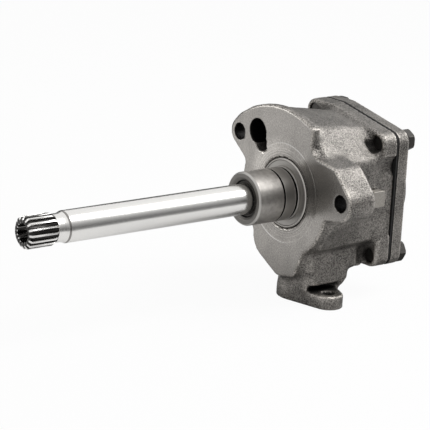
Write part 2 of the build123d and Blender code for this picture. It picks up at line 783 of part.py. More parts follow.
parts = {
    "pump_body": make_pump_body(),
    "neck": make_neck(),
    "front_bush": make_bush(neck_front_x + front_bush_recess, front_bush_length),
    "rear_bush": make_bush(chamber_x - rear_bush_length, rear_bush_length),
    "cover_bush": make_bush(cover_front_x, cover_bush_length),
    "drive_shaft": make_drive_shaft(),
    "inner_rotor": make_inner_rotor(),
    "outer_rotor": make_outer_rotor(),
    "rotor_key": key_block(),
    "rotor_snap_rings": Compound([make_snap_ring(x) for x in ring_places()]),
    "rear_cover": make_cover(),
    "cover_gasket": make_gasket(),
    "cover_bolts": Compound([make_bolt(at, bolt_turn_step * turn) for turn, at in enumerate(cover_bolts_at)]),
    "cover_dowels": Compound([make_dowel(at) for at in dowels_at]),
    "relief_plunger": make_valve_plunger(),
    "relief_spring": make_valve_spring(),
    "relief_shim": make_shim(),
    "relief_plug": make_plug(),
    "relief_plug_washer": make_plug_washer(),
    "test_plug": make_test_plug(),
}

os.makedirs("parts", exist_ok=True)
for name, shape in parts.items():
    export_step(shape, os.path.join("parts", name + ".step"))
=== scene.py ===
import bpy
import math
import numpy as np
from mathutils import Matrix, Vector


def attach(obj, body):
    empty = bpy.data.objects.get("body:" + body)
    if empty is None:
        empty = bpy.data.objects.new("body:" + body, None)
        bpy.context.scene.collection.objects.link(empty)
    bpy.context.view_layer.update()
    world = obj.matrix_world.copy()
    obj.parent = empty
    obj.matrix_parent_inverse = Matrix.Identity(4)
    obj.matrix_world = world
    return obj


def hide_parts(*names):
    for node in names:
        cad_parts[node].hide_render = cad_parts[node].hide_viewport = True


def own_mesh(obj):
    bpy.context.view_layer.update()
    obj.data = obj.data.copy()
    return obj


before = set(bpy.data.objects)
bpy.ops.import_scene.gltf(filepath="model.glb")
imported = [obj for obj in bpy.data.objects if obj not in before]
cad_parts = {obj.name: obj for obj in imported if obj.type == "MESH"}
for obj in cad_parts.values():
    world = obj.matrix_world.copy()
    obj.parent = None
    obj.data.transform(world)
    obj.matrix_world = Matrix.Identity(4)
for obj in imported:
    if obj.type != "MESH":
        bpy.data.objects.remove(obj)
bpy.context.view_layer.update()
scene = bpy.context.scene
cadMerge = 0.00001  # corners of a CAD copy that lie closer than this become one, in metres
ringMerge = 0.000002  # the same for a turned piece


# selecting and finishing a piece

def onlySelect(obj):
    bpy.ops.object.select_all(action="DESELECT")
    obj.select_set(True)
    bpy.context.view_layer.objects.active = obj


def applyModifiers(obj):
    onlySelect(obj)
    for modifier in list(obj.modifiers):
        bpy.ops.object.modifier_apply(modifier=modifier.name)


def mergedCopy(node, name):  # a CAD node is loose triangles, so a copy is merged first
    piece = bpy.data.objects.new(name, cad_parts[node].data.copy())
    scene.collection.objects.link(piece)
    piece.data.materials.clear()
    onlySelect(piece)
    bpy.ops.object.mode_set(mode="EDIT")
    bpy.ops.mesh.select_all(action="SELECT")
    bpy.ops.mesh.remove_doubles(threshold=cadMerge)
    bpy.ops.object.mode_set(mode="OBJECT")
    return piece


def finishPiece(piece, node, settings, material):
    onlySelect(piece)
    bpy.ops.object.shade_smooth_by_angle(angle=math.radians(settings["smooth"]))
    piece.data.materials.append(material)
    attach(piece, settings["body"])
    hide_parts(node)
    print(piece.name, len(piece.data.polygons), "faces")


# machined pieces keep their CAD form and get softened edges

def machinedPiece(node, name, settings, material):
    piece = mergedCopy(node, name)
    bpy.ops.object.mode_set(mode="EDIT")
    bpy.ops.mesh.select_all(action="SELECT")
    bpy.ops.mesh.dissolve_limited(angle_limit=math.radians(settings["flatAngle"]))
    bpy.ops.object.mode_set(mode="OBJECT")
    bevel = piece.modifiers.new("edge", "BEVEL")
    bevel.width = settings["edge"]
    bevel.segments = settings["edgeSteps"]
    bevel.limit_method = "ANGLE"
    bevel.angle_limit = math.radians(settings["edgeAngle"])
    applyModifiers(piece)
    finishPiece(piece, node, settings, material)
    flatten = piece.modifiers.new("flatten", "WEIGHTED_NORMAL")  # flat faces stay flat between their bevels
    flatten.keep_sharp = True
    applyModifiers(piece)
    return piece


# turned pieces are drawn ring by ring along X, so that they are round at any distance

def extrudeRing(fromX, fromRadius, toX, toRadius):
    bpy.ops.mesh.extrude_region_move(TRANSFORM_OT_translate={"value": (toX - fromX, 0, 0)})
    scale = toRadius / fromRadius
    bpy.ops.transform.resize(value=(1, scale, scale), center_override=(toX, 0, 0))


def turnedShape(name, profile, sides):  # profile: (x, radius) in metres along the surface, closed or capped
    x, radius = profile[0]
    bpy.ops.object.select_all(action="DESELECT")
    bpy.ops.mesh.primitive_circle_add(vertices=sides, radius=radius, location=(x, 0, 0),
                                      rotation=(0, math.pi / 2, 0))
    piece = bpy.context.object
    piece.name = name
    bpy.ops.object.transform_apply(location=True, rotation=True, scale=True)
    bpy.ops.object.mode_set(mode="EDIT")
    bpy.ops.mesh.select_all(action="SELECT")
    for toX, toRadius in profile[1:]:
        extrudeRing(x, radius, toX, toRadius)
        x, radius = toX, toRadius
    bpy.ops.mesh.select_all(action="SELECT")
    bpy.ops.mesh.remove_doubles(threshold=ringMerge)
    if profile[0] != profile[-1]:  # an open profile gets a disc at each end
        bpy.ops.mesh.select_all(action="DESELECT")
        bpy.ops.mesh.select_non_manifold()
        bpy.ops.mesh.fill_holes(sides=sides)
    bpy.ops.mesh.select_all(action="SELECT")
    bpy.ops.mesh.normals_make_consistent(inside=False)
    bpy.ops.object.mode_set(mode="OBJECT")
    return piece


# cast pieces get an even skin, which is then melted where the casting is not machined

def ramp(values, start, end):  # 0 at start, 1 at end
    return np.clip((values - start) / (end - start), 0.0, 1.0)


def vertexPlaces(piece):
    places = np.empty(len(piece.data.vertices) * 3)
    piece.data.vertices.foreach_get("co", places)
    return places.reshape(-1, 3)


def vertexNormals(piece):
    normals = np.empty(len(piece.data.vertices) * 3)
    piece.data.vertex_normals.foreach_get("vector", normals)
    return normals.reshape(-1, 3)


def neighbourMean(piece, values):
    ends = np.empty(len(piece.data.edges) * 2, dtype=np.int64)
    piece.data.edges.foreach_get("vertices", ends)
    first, second = ends.reshape(-1, 2).T
    total = np.zeros_like(values)
    count = np.zeros(len(values))
    for here, there in ((first, second), (second, first)):
        np.add.at(total, here, values[there])
        np.add.at(count, here, 1)
    return total / np.maximum(count, 1).reshape((-1,) + (1,) * (values.ndim - 1))


def addWeights(piece, name, weights, levels=10):
    group = piece.vertex_groups.new(name=name)
    steps = np.rint(weights * levels).astype(int)
    for level in range(1, levels + 1):
        group.add(np.flatnonzero(steps == level).tolist(), level / levels, "REPLACE")


def castWeights(piece, settings):  # 1 on the cast skin, 0 on machined faces and in bores
    x, y, z = vertexPlaces(piece).T
    soft = settings["machinedRamp"]
    weights = ramp(x, settings["frontX"], settings["frontX"] + soft)
    weights *= ramp(x, settings["rearX"], settings["rearX"] - soft)
    weights *= ramp(z, settings["footZ"], settings["footZ"] + soft)
    for along, centre, radius, low, high in settings["bores"]:
        if along == "x":
            reach, place = np.hypot(y - centre[0], z - centre[1]), x
        else:
            reach, place = np.hypot(x - centre[0], y - centre[1]), z
        inside = (place > low) & (place < high)
        outward = ramp(reach, radius + settings["boreRim"], radius + soft)
        weights = np.where(inside, weights * outward, weights)
    return weights


def hollowWeights(piece, settings, cast):  # 1 in the inner corners of the casting
    places = vertexPlaces(piece)
    inward = np.einsum("ij,ij->i", neighbourMean(piece, places) - places, vertexNormals(piece))
    hollow = ramp(inward, settings["hollowFrom"], settings["hollowFull"])
    for step in range(settings["hollowSpread"]):
        wider = neighbourMean(piece, hollow) * settings["hollowGain"]
        hollow = np.maximum(hollow, np.minimum(1.0, wider))
    return neighbourMean(piece, hollow) * cast


def addSmooth(piece, name, repeats, group=None):
    melt = piece.modifiers.new(name, "SMOOTH")
    melt.factor = 0.5
    melt.iterations = repeats
    if group:
        melt.vertex_group = group
    applyModifiers(piece)


def castPiece(node, name, settings, material):
    piece = mergedCopy(node, name)
    skin = piece.modifiers.new("skin", "REMESH")
    skin.mode = "VOXEL"
    skin.voxel_size = settings["voxel"]
    applyModifiers(piece)
    addSmooth(piece, "even", settings["evenSteps"])
    cast = castWeights(piece, settings)
    addWeights(piece, "cast", cast)
    addWeights(piece, "hollow", hollowWeights(piece, settings, cast))
    addSmooth(piece, "fillet", settings["filletSteps"], "hollow")
    addSmooth(piece, "melt", settings["meltSteps"], "cast")
    lumps = bpy.data.textures.new(name + "Lumps", "CLOUDS")
    lumps.noise_scale = settings["lumpSize"]
    lumps.noise_depth = settings["lumpDepth"]
    waves = piece.modifiers.new("waves", "DISPLACE")
    waves.texture = lumps
    waves.texture_coords = "LOCAL"
    waves.strength = settings["lumpHeight"]
    waves.mid_level = settings["lumpLevel"]
    waves.vertex_group = "cast"
    applyModifiers(piece)
    finishPiece(piece, node, settings, material)
    return piece


# materials: every noise is given as scale, detail, roughness

def startMaterial(name):
    material = bpy.data.materials.new(name)
    material.use_nodes = True
    tree = material.node_tree
    shader = tree.nodes["Principled BSDF"]
    place = tree.nodes.new("ShaderNodeTexCoord")
    return material, tree, shader, place.outputs["Object"]


def addNoise(tree, coords, scale, detail, rough):
    noise = tree.nodes.new("ShaderNodeTexNoise")
    noise.inputs["Scale"].default_value = scale
    noise.inputs["Detail"].default_value = detail
    noise.inputs["Roughness"].default_value = rough
    tree.links.new(coords, noise.inputs["Vector"])
    return noise.outputs["Fac"]


def addRings(tree, radius, scale, detail):  # turning marks: noise that changes with the radius alone
    noise = tree.nodes.new("ShaderNodeTexNoise")
    noise.noise_dimensions = "1D"
    noise.inputs["Scale"].default_value = scale
    noise.inputs["Detail"].default_value = detail
    tree.links.new(radius, noise.inputs["W"])
    return noise.outputs["Fac"]


def addRamp(tree, value, stops):
    colours = tree.nodes.new("ShaderNodeValToRGB")
    while len(colours.color_ramp.elements) < len(stops):
        colours.color_ramp.elements.new(0.5)
    for element, (place, colour) in zip(colours.color_ramp.elements, stops):
        element.position = place
        element.color = (*colour, 1.0)
    tree.links.new(value, colours.inputs["Fac"])
    return colours.outputs["Color"]


def addGreys(tree, value, stops):
    return addRamp(tree, value, [(place, (grey, grey, grey)) for place, grey in stops])


def addMath(tree, operation, first, second=0.0):
    node = tree.nodes.new("ShaderNodeMath")
    node.operation = operation
    for socket, value in zip(node.inputs, (first, second)):
        if isinstance(value, (int, float)):
            socket.default_value = value
        else:
            tree.links.new(value, socket)
    return node.outputs["Value"]


def addRange(tree, value, low, high, toLow, toHigh):
    node = tree.nodes.new("ShaderNodeMapRange")
    tree.links.new(value, node.inputs["Value"])
    node.inputs["From Min"].default_value = low
    node.inputs["From Max"].default_value = high
    node.inputs["To Min"].default_value = toLow
    node.inputs["To Max"].default_value = toHigh
    return node.outputs["Result"]


def mixColour(tree, factor, first, second, blend="MIX"):
    mix = tree.nodes.new("ShaderNodeMix")
    mix.data_type = "RGBA"
    mix.blend_type = blend
    for socketName, value in (("Factor", factor), ("A", first), ("B", second)):
        if hasattr(value, "is_output"):
            tree.links.new(value, mix.inputs[socketName])
        else:
            mix.inputs[socketName].default_value = value
    return mix.outputs["Result"]


def addBump(tree, shader, height, strength, distance):
    bump = tree.nodes.new("ShaderNodeBump")
    bump.inputs["Strength"].default_value = strength
    bump.inputs["Distance"].default_value = distance
    tree.links.new(height, bump.inputs["Height"])
    tree.links.new(bump.outputs["Normal"], shader.inputs["Normal"])


def addCreaseShade(tree, look):  # painted shade: darker in corners and creases, where ambient occlusion is low
    corner = tree.nodes.new("ShaderNodeAmbientOcclusion")
    corner.samples = look["creaseShadeSamples"]
    corner.inputs["Distance"].default_value = look["creaseShadeReach"]
    return addGreys(tree, corner.outputs["AO"], look["creaseShade"])


def splitPlace(tree, coords):
    split = tree.nodes.new("ShaderNodeSeparateXYZ")
    tree.links.new(coords, split.inputs["Vector"])
    return split.outputs["X"], split.outputs["Y"], split.outputs["Z"]


def flatDistance(tree, first, second):  # of y and z it is the distance from the shaft axis, which is X
    firstSquare = addMath(tree, "MULTIPLY", first, first)
    secondSquare = addMath(tree, "MULTIPLY", second, second)
    return addMath(tree, "SQRT", addMath(tree, "ADD", firstSquare, secondSquare))


def towards(tree, y, z, radius, turn):  # 1 where the way out from the shaft points at this turn, 0 across it
    alongY = addMath(tree, "MULTIPLY", y, math.cos(math.radians(turn)))
    alongZ = addMath(tree, "MULTIPLY", z, math.sin(math.radians(turn)))
    return addMath(tree, "DIVIDE", addMath(tree, "ADD", alongY, alongZ), radius)


def shade(colour, amount):
    return tuple(amount * c for c in colour)


castIron = {
    "dark": (0.034, 0.032, 0.029), "light": (0.36, 0.338, 0.312), "toneFrom": 0.37, "toneTo": 0.63,
    "grain": (900.0, 5.0, 0.65), "grainShare": 0.75,
    "blotch": (70.0, 3.0, 0.6), "blotchShare": 0.25,
    "metal": 0.80, "rough": 0.34, "bump": 0.6, "grainDepth": 0.0009,
    "hollow": 0.46, "ridge": 0.54,  # pointiness in corners and on edges
    "cornerShadeAndEdgeSheen": [(0.0, 0.4), (0.45, 0.95), (0.55, 1.0), (1.0, 2.2)],  # painted shade in corners; on edges painted highlight together with real wear
    # painted shade in corners and creases, from ambient occlusion
    "creaseShadeReach": 0.012, "creaseShadeSamples": 8, "creaseShade": [(0.25, 0.10), (0.85, 1.0)],
    # painted shade along the gasket joint and inside the holes
    "oil": (0.012, 0.011, 0.010), "seamX": 0.0757, "seamReach": 0.0011, "seamFade": 0.00165,
}
machinedFace = {
    "behind": 0.0009, "flat": -0.97,  # the face lies before this x and looks forward
    "colour": (0.46, 0.437, 0.408), "darkest": 0.62, "toneFrom": 0.38, "toneTo": 0.62,
    "rough": 0.20, "grainLost": 0.93, "ringDepth": 0.05,
    "turnedRadius": 0.0363, "rings": (600.0, 3.0), "ringTones": [(0.35, 0.74), (0.65, 1.2)],
    # painted highlight on the face on one side of the neck
    "shine": {"turn": 45, "from": 0.55, "to": 0.92, "gain": 0.6, "inner": 0.034, "outer": 0.042,
              "outside": 0.2},
    # painted shade on the face to the right of the neck
    "sideShade": {"turn": 158, "from": 0.84, "to": 0.98, "left": 0.5},
    # painted highlight line along the step round the turned part
    "line": {"turn": 127, "from": 0.55, "to": 0.95, "most": 0.8, "inner": 0.00011, "outer": 0.00033,
             "colour": (0.85, 0.84, 0.82)},
    # painted shade inside the holes
    "holeFrom": 0.0002, "holeTo": 0.0006,
    "holes": [  # centre, radius, depth
        ((0.0530, 0.0338), 0.0060, 0.0150), ((-0.0616, 0.0068), 0.0060, 0.0270),
        ((0.0322, 0.0384), 0.0092, 0.0360),
    ],
}


def castTone(tree, x, tone, geometry, look):
    colour = addRamp(tree, tone, [(look["toneFrom"], look["dark"]), (look["toneTo"], look["light"])])
    # painted shade in corners and painted highlight on edges, partly real wear
    convexity = addRange(tree, geometry.outputs["Pointiness"], look["hollow"], look["ridge"], 0.0, 1.0)
    colour = mixColour(tree, 1.0, colour, addGreys(tree, convexity, look["cornerShadeAndEdgeSheen"]), "MULTIPLY")
    # painted shade in corners and creases
    colour = mixColour(tree, 1.0, colour, addCreaseShade(tree, look), "MULTIPLY")
    seam = addMath(tree, "ABSOLUTE", addMath(tree, "SUBTRACT", x, look["seamX"]))  # painted shade along the gasket joint
    oil = addRange(tree, seam, look["seamReach"], look["seamFade"], 1.0, 0.0)
    return mixColour(tree, oil, colour, (*look["oil"], 1.0))


def machinedTone(tree, y, z, tone, rings, face):
    radius = flatDistance(tree, y, z)
    darkest = shade(face["colour"], face["darkest"])
    fine = addRamp(tree, tone, [(face["toneFrom"], darkest), (face["toneTo"], face["colour"])])
    turned = addMath(tree, "LESS_THAN", radius, face["turnedRadius"])
    marked = mixColour(tree, 1.0, fine, addGreys(tree, rings, face["ringTones"]), "MULTIPLY")
    fine = mixColour(tree, turned, fine, marked)
    shine = face["shine"]  # painted highlight on one side of the neck, where facing marks would catch the light
    lit = towards(tree, y, z, radius, shine["turn"])
    lit = addRange(tree, lit, shine["from"], shine["to"], 0.0, shine["gain"])
    fade = addRange(tree, radius, shine["inner"], shine["outer"], 1.0, shine["outside"])
    lit = addMath(tree, "ADD", 1.0, addMath(tree, "MULTIPLY", lit, fade))
    sideShade = face["sideShade"]  # and painted shade on the other side
    oily = towards(tree, y, z, radius, sideShade["turn"])
    oily = addRange(tree, oily, sideShade["from"], sideShade["to"], 1.0, sideShade["left"])
    fine = mixColour(tree, 1.0, fine, addMath(tree, "MULTIPLY", lit, oily), "MULTIPLY")
    line = face["line"]  # painted highlight: the step round the turned part shines across the light
    edge = addMath(tree, "ABSOLUTE", addMath(tree, "SUBTRACT", radius, face["turnedRadius"]))
    bright = addRange(tree, edge, line["inner"], line["outer"], 1.0, 0.0)
    bowTie = addMath(tree, "ABSOLUTE", towards(tree, y, z, radius, line["turn"]))
    bowTie = addRange(tree, bowTie, line["from"], line["to"], 0.0, line["most"])
    return mixColour(tree, addMath(tree, "MULTIPLY", bright, bowTie), fine, (*line["colour"], 1.0))


def oilyHoles(tree, x, y, z, colour, oil, face):  # painted shade: holes are black inside
    for (holeY, holeZ), radius, depth in face["holes"]:
        away = flatDistance(tree, addMath(tree, "SUBTRACT", y, holeY),
                            addMath(tree, "SUBTRACT", z, holeZ))
        inside = addRange(tree, away, radius + face["holeFrom"], radius + face["holeTo"], 1.0, 0.0)
        inside = addMath(tree, "MULTIPLY", inside, addMath(tree, "LESS_THAN", x, depth))
        colour = mixColour(tree, inside, colour, (*oil, 1.0))
    return colour


def makeCastIron(name, look, face=None):
    material, tree, shader, coords = startMaterial(name)
    geometry = tree.nodes.new("ShaderNodeNewGeometry")
    x, y, z = splitPlace(tree, coords)
    grain = addNoise(tree, coords, *look["grain"])
    blotch = addNoise(tree, coords, *look["blotch"])
    tone = addMath(tree, "ADD", addMath(tree, "MULTIPLY", grain, look["grainShare"]),
                   addMath(tree, "MULTIPLY", blotch, look["blotchShare"]))
    colour = castTone(tree, x, tone, geometry, look)
    height = grain
    shader.inputs["Metallic"].default_value = look["metal"]
    shader.inputs["Roughness"].default_value = look["rough"]
    if face:
        forward = splitPlace(tree, geometry.outputs["True Normal"])[0]
        cut = addMath(tree, "MULTIPLY", addMath(tree, "LESS_THAN", x, face["behind"]),
                      addMath(tree, "LESS_THAN", forward, face["flat"]))
        rings = addRings(tree, flatDistance(tree, y, z), *face["rings"])
        colour = mixColour(tree, cut, colour, machinedTone(tree, y, z, tone, rings, face))
        # painted shade inside the holes
        colour = oilyHoles(tree, x, y, z, colour, look["oil"], face)
        smoother = addMath(tree, "MULTIPLY", cut, look["rough"] - face["rough"])
        tree.links.new(addMath(tree, "SUBTRACT", look["rough"], smoother), shader.inputs["Roughness"])
        kept = addMath(tree, "SUBTRACT", 1.0, addMath(tree, "MULTIPLY", cut, face["grainLost"]))
        marks = addMath(tree, "MULTIPLY", rings, addMath(tree, "MULTIPLY", cut, face["ringDepth"]))
        height = addMath(tree, "ADD", addMath(tree, "MULTIPLY", grain, kept), marks)
    tree.links.new(colour, shader.inputs["Base Color"])
    addBump(tree, shader, height, look["bump"], look["grainDepth"])
    return material


turnedSteel = {  # what turned and ground steels share, where a look says nothing else
    "marks": (1500.0, 3.0, 0.6), "stretch": (1.0, 0.03, 0.03), "streak": 0.1, "streakDepth": 0.00005,
    "patch": (60.0, 4.0, 0.65), "patchy": 0.12, "toneFrom": 0.3, "toneTo": 0.7,
    "glossier": 0.85, "duller": 1.15, "metal": 1.0, "bands": [], "bandEdge": 0.0003, "spline": None,
}
steelLooks = {  # bands of painted shade and painted highlight, and of the steel's own finish: from x, to x, inside this radius, colour
    "neckSteel": {
        "colour": (0.43, 0.41, 0.387), "rough": 0.47, "streak": 0.25,
        "patchy": 0.34, "patch": (260.0, 4.0, 0.65),
        "bands": [
            # painted highlight on the front chamfer
            (-0.0370, -0.0351, 0.0300, (0.47, 0.457, 0.435)),
            # painted dark reflection on the front face round the mouth
            (-0.0370, -0.0345, 0.0182, (0.17, 0.163, 0.153)),
            # painted shade in the snap ring groove
            (-0.0146, -0.0126, 0.0192, (0.004, 0.004, 0.004)),
            (-0.0124, -0.0038, 0.0300, (0.31, 0.296, 0.28)),
            # painted shade in the groove by the flange
            (-0.0035, -0.0017, 0.0188, (0.004, 0.004, 0.004)),
            # painted highlight on the rear chamfer
            (-0.0006, 0.0010, 0.0300, (0.45, 0.43, 0.405)),
            (-0.0006, 0.0010, 0.0242, (0.34, 0.327, 0.309)),
            # painted shade in the seam against the flange
            (0.0008, 0.0100, 0.0300, (0.06, 0.057, 0.054)),
            # painted shade in the bore round the shaft
            (-0.0362, 0.0200, 0.0136, (0.01, 0.01, 0.01)),
        ],
    },
    "shaftSteel": {
        "colour": (0.81, 0.80, 0.78), "rough": 0.21, "streak": 0.05, "patchy": 0.03,
        "bands": [
            # painted dark reflection on the end face
            (-0.2300, -0.2188, 0.0089, (0.12, 0.117, 0.112)),
            # painted shade in the end bore
            (-0.2187, -0.1970, 0.0065, (0.02, 0.02, 0.02)),
            # painted shade in the corner at the shoulder
            (-0.1888, -0.1874, 0.0112, (0.28, 0.27, 0.26)),
        ],
        # painted shade between the spline teeth
        "spline": {"teeth": 16.0, "gap": 0.35, "tooth": 0.45, "to": -0.1965, "colour": (0.03, 0.029, 0.028)},
    },
    "rotorSteel": {"colour": (0.42, 0.41, 0.39), "rough": 0.35},
    "plainSteel": {"colour": (0.45, 0.44, 0.43), "rough": 0.35},
}


def makeSteel(name, look):  # turned or ground steel: fine marks round the shaft axis
    look = {**turnedSteel, **look}
    material, tree, shader, coords = startMaterial(name)
    stretch = tree.nodes.new("ShaderNodeMapping")
    stretch.inputs["Scale"].default_value = look["stretch"]
    tree.links.new(coords, stretch.inputs["Vector"])
    marks = addNoise(tree, stretch.outputs["Vector"], *look["marks"])
    patch = addNoise(tree, coords, *look["patch"])
    stops = [(look["toneFrom"], shade(look["colour"], 1 - look["patchy"])), (look["toneTo"], look["colour"])]
    colour = addRamp(tree, patch, stops)
    x, y, z = splitPlace(tree, coords)
    radius = flatDistance(tree, y, z)
    # bands of painted shade and painted highlight, and of the steel's own finish
    for fromX, toX, outside, bandColour in look["bands"]:
        here = addRange(tree, radius, outside - look["bandEdge"], outside, 1.0, 0.0)
        here = addMath(tree, "MULTIPLY", here, addMath(tree, "LESS_THAN", x, toX))
        here = addMath(tree, "MULTIPLY", here, addMath(tree, "GREATER_THAN", x, fromX))
        colour = mixColour(tree, here, colour, (*bandColour, 1.0))
    spline = look["spline"]
    if spline:  # painted shade between the teeth
        turn = addMath(tree, "MULTIPLY", addMath(tree, "ARCTAN2", z, y), spline["teeth"])
        between = addRange(tree, addMath(tree, "COSINE", turn), spline["gap"], spline["tooth"], 1.0, 0.0)
        here = addMath(tree, "MULTIPLY", between, addMath(tree, "LESS_THAN", x, spline["to"]))
        colour = mixColour(tree, here, colour, (*spline["colour"], 1.0))
    tree.links.new(colour, shader.inputs["Base Color"])
    shader.inputs["Metallic"].default_value = look["metal"]
    low, high = look["rough"] * look["glossier"], look["rough"] * look["duller"]
    gloss = addRange(tree, marks, look["toneFrom"], look["toneTo"], low, high)
    tree.links.new(gloss, shader.inputs["Roughness"])
    addBump(tree, shader, marks, look["streak"], look["streakDepth"])
    return material


plainMetal = {  # the same for small parts and sheet
    "grain": (1200.0, 4.0, 0.6), "toneFrom": 0.3, "toneTo": 0.7, "darkest": 0.7, "metal": 1.0,
    "bump": 0.4, "depth": 0.00005,
}
plainLooks = {
    "boltSteel": {"colour": (0.080, 0.076, 0.071), "rough": 0.36, "metal": 0.9, "grain": (700.0, 4.0, 0.6),
                  "depth": 0.0001},
    "springSteel": {"colour": (0.18, 0.18, 0.18), "rough": 0.35},
    "bushSteel": {"colour": (0.055, 0.052, 0.048), "rough": 0.4},
    "bronze": {"colour": (0.11, 0.09, 0.065), "rough": 0.45},
    "copper": {"colour": (0.45, 0.26, 0.17), "rough": 0.4},
    "gasketSheet": {"colour": (0.010, 0.010, 0.010), "rough": 0.8, "metal": 0.0},
    "plugIron": {"colour": (0.42, 0.395, 0.36), "rough": 0.5, "metal": 0.8, "grain": (900.0, 4.0, 0.6),
                 "depth": 0.0003},
}


def makePlain(name, look):
    look = {**plainMetal, **look}
    material, tree, shader, coords = startMaterial(name)
    noise = addNoise(tree, coords, *look["grain"])
    stops = [(look["toneFrom"], shade(look["colour"], look["darkest"])), (look["toneTo"], look["colour"])]
    tree.links.new(addRamp(tree, noise, stops), shader.inputs["Base Color"])
    shader.inputs["Roughness"].default_value = look["rough"]
    shader.inputs["Metallic"].default_value = look["metal"]
    addBump(tree, shader, noise, look["bump"], look["depth"])
    return material


looks = {name: makeSteel(name, look) for name, look in steelLooks.items()}
looks.update({name: makePlain(name, look) for name, look in plainLooks.items()})
looks["bodyIron"] = makeCastIron("bodyIron", castIron, machinedFace)
looks["coverIron"] = makeCastIron("coverIron", castIron)
print("materials ready:", len(looks))


# pieces that keep their CAD form get a material, the others are dressed one by one

nodeLooks = {
    "front_bush": "bushSteel", "rear_bush": "bronze", "cover_bush": "bronze", "inner_rotor": "rotorSteel",
    "outer_rotor": "rotorSteel", "rotor_key": "plainSteel", "rotor_snap_rings": "springSteel",
    "cover_dowels": "plainSteel", "relief_plunger": "plainSteel", "relief_spring": "springSteel",
    "relief_shim": "plainSteel", "cover_gasket": "gasketSheet", "relief_plug_washer": "copper",
}
for node, look in nodeLooks.items():
    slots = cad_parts[node].data.materials
    slots.clear()
    slots.append(looks[look])

bodySettings = {
    "body": "housing", "slot": "cast_body", "smooth": 40,
    "voxel": 0.00102, "evenSteps": 3, "meltSteps": 8, "filletSteps": 50,
    "frontX": 0.0004, "rearX": 0.0746, "footZ": -0.0796, "machinedRamp": 0.0022, "boreRim": 0.0005,
    "hollowFrom": 0.00002, "hollowFull": 0.00012, "hollowSpread": 4, "hollowGain": 2.2,
    "lumpSize": 0.006, "lumpDepth": 2, "lumpHeight": 0.00035, "lumpLevel": 0.68,  # this level keeps them low
    "bores": [  # axis, centre, radius, from, to
        ("x", (0.053, 0.0338), 0.006, -0.001, 0.016), ("x", (-0.0616, 0.0068), 0.006, -0.001, 0.027),
        ("x", (0.0322, 0.0384), 0.0092, -0.001, 0.036), ("x", (0.0279, 0.0310), 0.0065, -0.001, 0.036),
        ("x", (0.0, 0.0), 0.0256, -0.001, 0.012), ("x", (0.0029, 0.0), 0.0312, 0.045, 0.076),
        ("z", (0.0225, 0.0), 0.0125, -0.081, -0.02), ("z", (0.0225, -0.0305), 0.0045, -0.081, -0.069),
    ],
}
castPiece("pump_body", "pumpBodyCast", bodySettings, looks["bodyIron"])

coverSettings = {
    "body": "housing", "slot": "cast_cover", "smooth": 40,
    "voxel": 0.0009, "evenSteps": 3, "meltSteps": 6, "filletSteps": 12,
    "frontX": 0.0764, "rearX": 0.2, "footZ": -0.2, "machinedRamp": 0.0022, "boreRim": 0.0005,
    "hollowFrom": 0.00002, "hollowFull": 0.00012, "hollowSpread": 2, "hollowGain": 2.2,
    "lumpSize": 0.006, "lumpDepth": 2, "lumpHeight": 0.0003, "lumpLevel": 0.68, "bores": [],
}
castPiece("rear_cover", "rearCoverCast", coverSettings, looks["coverIron"])

neckSettings = {
    "body": "housing", "slot": "ground_steel", "smooth": 20, "sides": 160,
    "profile": [  # x, radius, from the mouth over the front and along the outside
        (-0.0341, 0.01265), (-0.0350, 0.0136), (-0.0358, 0.0146), (-0.0361, 0.0151), (-0.0363, 0.0156),
        (-0.0363, 0.0180), (-0.0361, 0.0183), (-0.0353, 0.0191), (-0.0350, 0.01927), (-0.0145, 0.01927),
        (-0.0144, 0.0191), (-0.0144, 0.0179), (-0.0128, 0.0179), (-0.0128, 0.0191), (-0.0127, 0.01927),
        (-0.0050, 0.01927), (-0.0049, 0.0191), (-0.0043, 0.0191), (-0.0042, 0.01927), (-0.0037, 0.01927),
        (-0.0034, 0.0190), (-0.0034, 0.0180), (-0.0018, 0.0180), (-0.0018, 0.0192), (-0.0015, 0.0196),
        (0.0005, 0.0197), (0.0005, 0.0234), (0.0002, 0.0238), (0.0000, 0.0240), (0.0000, 0.0245),
        (0.0006, 0.0252), (0.0090, 0.0254), (0.0090, 0.0170), (0.0160, 0.0170), (0.0160, 0.01265),
        (-0.0341, 0.01265),
    ],
}
neck = turnedShape("neckTurned", neckSettings["profile"], neckSettings["sides"])
finishPiece(neck, "neck", neckSettings, looks["neckSteel"])


def cutAway(piece, x, keepAfter):  # keep one side of a cut across the shaft, and close it
    bpy.ops.object.mode_set(mode="EDIT")
    bpy.ops.mesh.select_all(action="SELECT")
    bpy.ops.mesh.bisect(plane_co=(x, 0, 0), plane_no=(1, 0, 0), use_fill=True,
                        clear_inner=keepAfter, clear_outer=not keepAfter)
    bpy.ops.object.mode_set(mode="OBJECT")


shaftSettings = {  # the tip and the hidden end keep their CAD form, the bar between them is turned
    "body": "drive", "slot": "polished_steel", "smooth": 18, "sides": 160,
    "splineEnd": -0.1964, "hidden": -0.030,
    "profile": [
        (-0.1964, 0.0097), (-0.1918, 0.0097), (-0.1912, 0.0098), (-0.1898, 0.0101), (-0.1886, 0.0105),
        (-0.1878, 0.0109), (-0.1874, 0.0110), (-0.1400, 0.0110), (-0.0900, 0.0110), (-0.0300, 0.0110),
    ],
}
splinedEnd = mergedCopy("drive_shaft", "splinedEnd")
cutAway(splinedEnd, shaftSettings["splineEnd"], False)
hiddenEnd = mergedCopy("drive_shaft", "hiddenEnd")
cutAway(hiddenEnd, shaftSettings["hidden"], True)
shaft = turnedShape("driveShaftPolished", shaftSettings["profile"], shaftSettings["sides"])
onlySelect(shaft)
splinedEnd.select_set(True)
hiddenEnd.select_set(True)
bpy.ops.object.join()
finishPiece(shaft, "drive_shaft", shaftSettings, looks["shaftSteel"])

